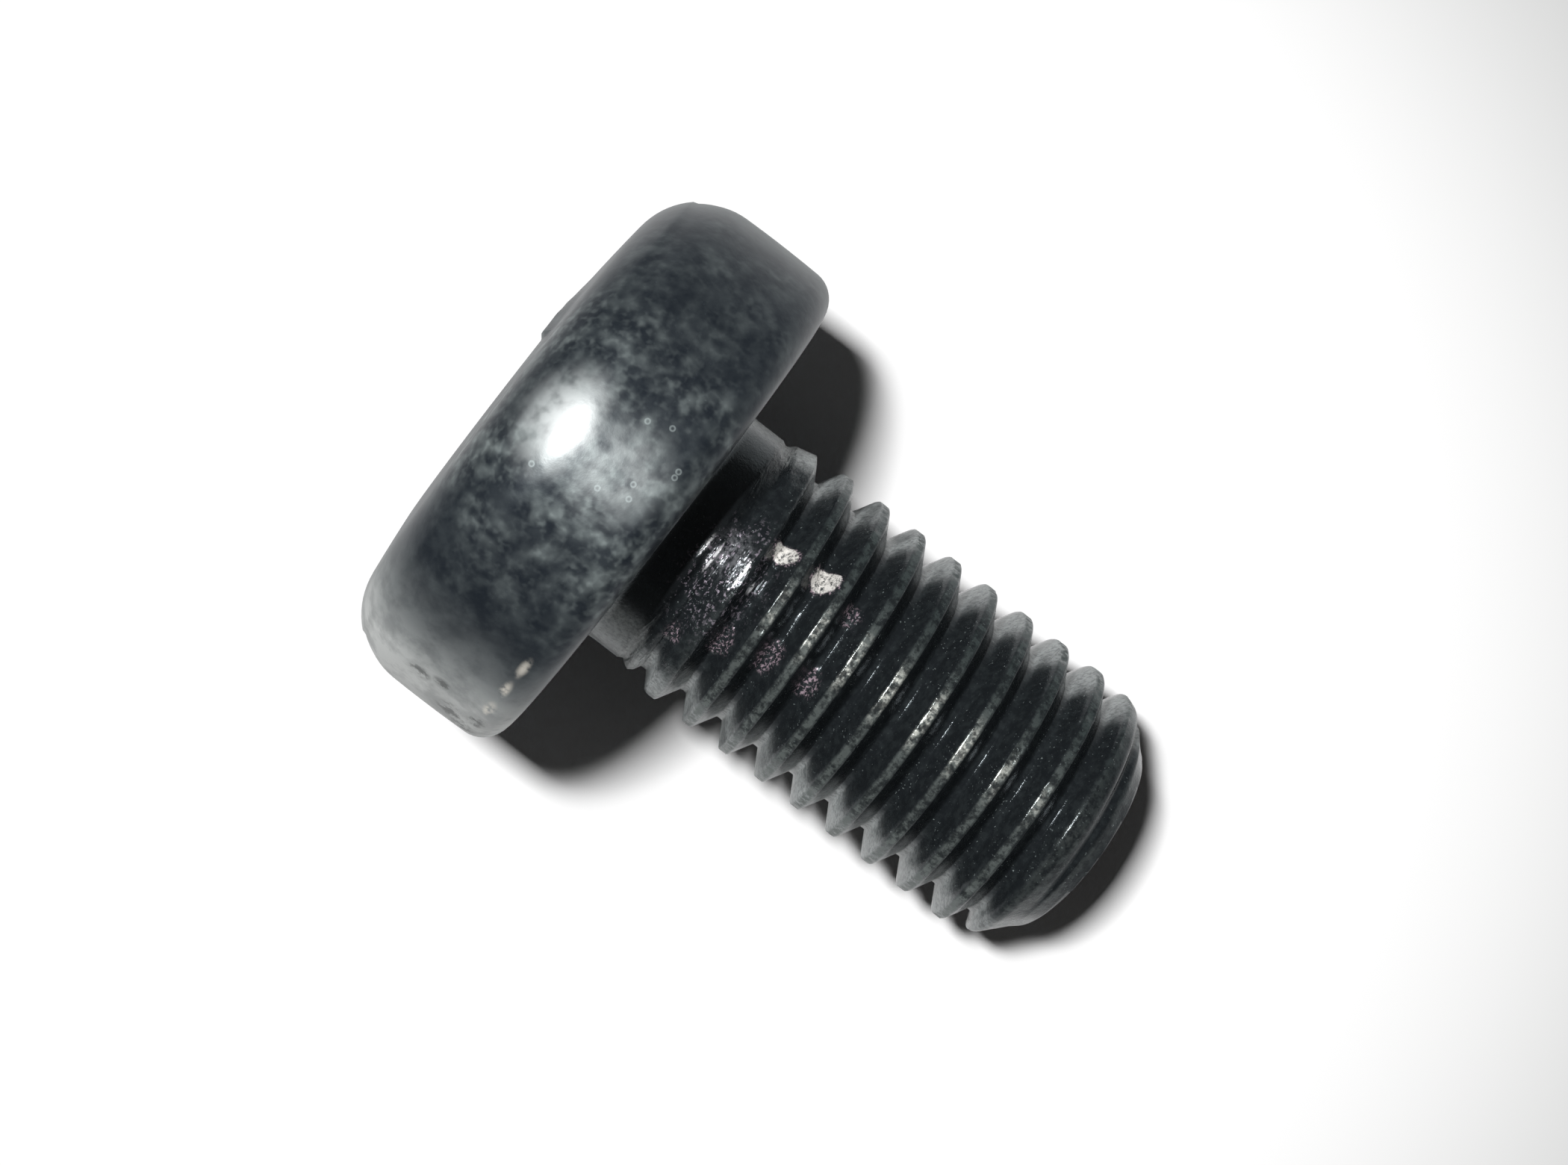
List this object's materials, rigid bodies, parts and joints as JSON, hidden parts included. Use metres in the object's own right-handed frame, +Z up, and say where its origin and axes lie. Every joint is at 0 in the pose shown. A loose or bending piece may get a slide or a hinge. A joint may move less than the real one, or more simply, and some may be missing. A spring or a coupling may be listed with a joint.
{
  "type": "star drive bolt",
  "caption": "Black steel pan head bolt with a plain neck, a right-hand thread, a chamfered point and a six-lobed star recess in its crowned head.",
  "frame": {"origin": "the point on the ground under the middle of the lying bolt's bounding box", "axes": "+Z up; +X from the head towards the tip, with the axis of the bolt in the XZ plane and sloping down to the tip by 15.8 degrees; +Y across the bolt"},
  "size_m": [0.0262, 0.019, 0.0192],
  "materials": {
    "black_steel": "oiled black oxide over steel, satin on the head and glossier in the thread, worn grey on the crests"
  },
  "bodies": {
    "root": {"bolt": "black_steel"}
  },
  "joints": []
}
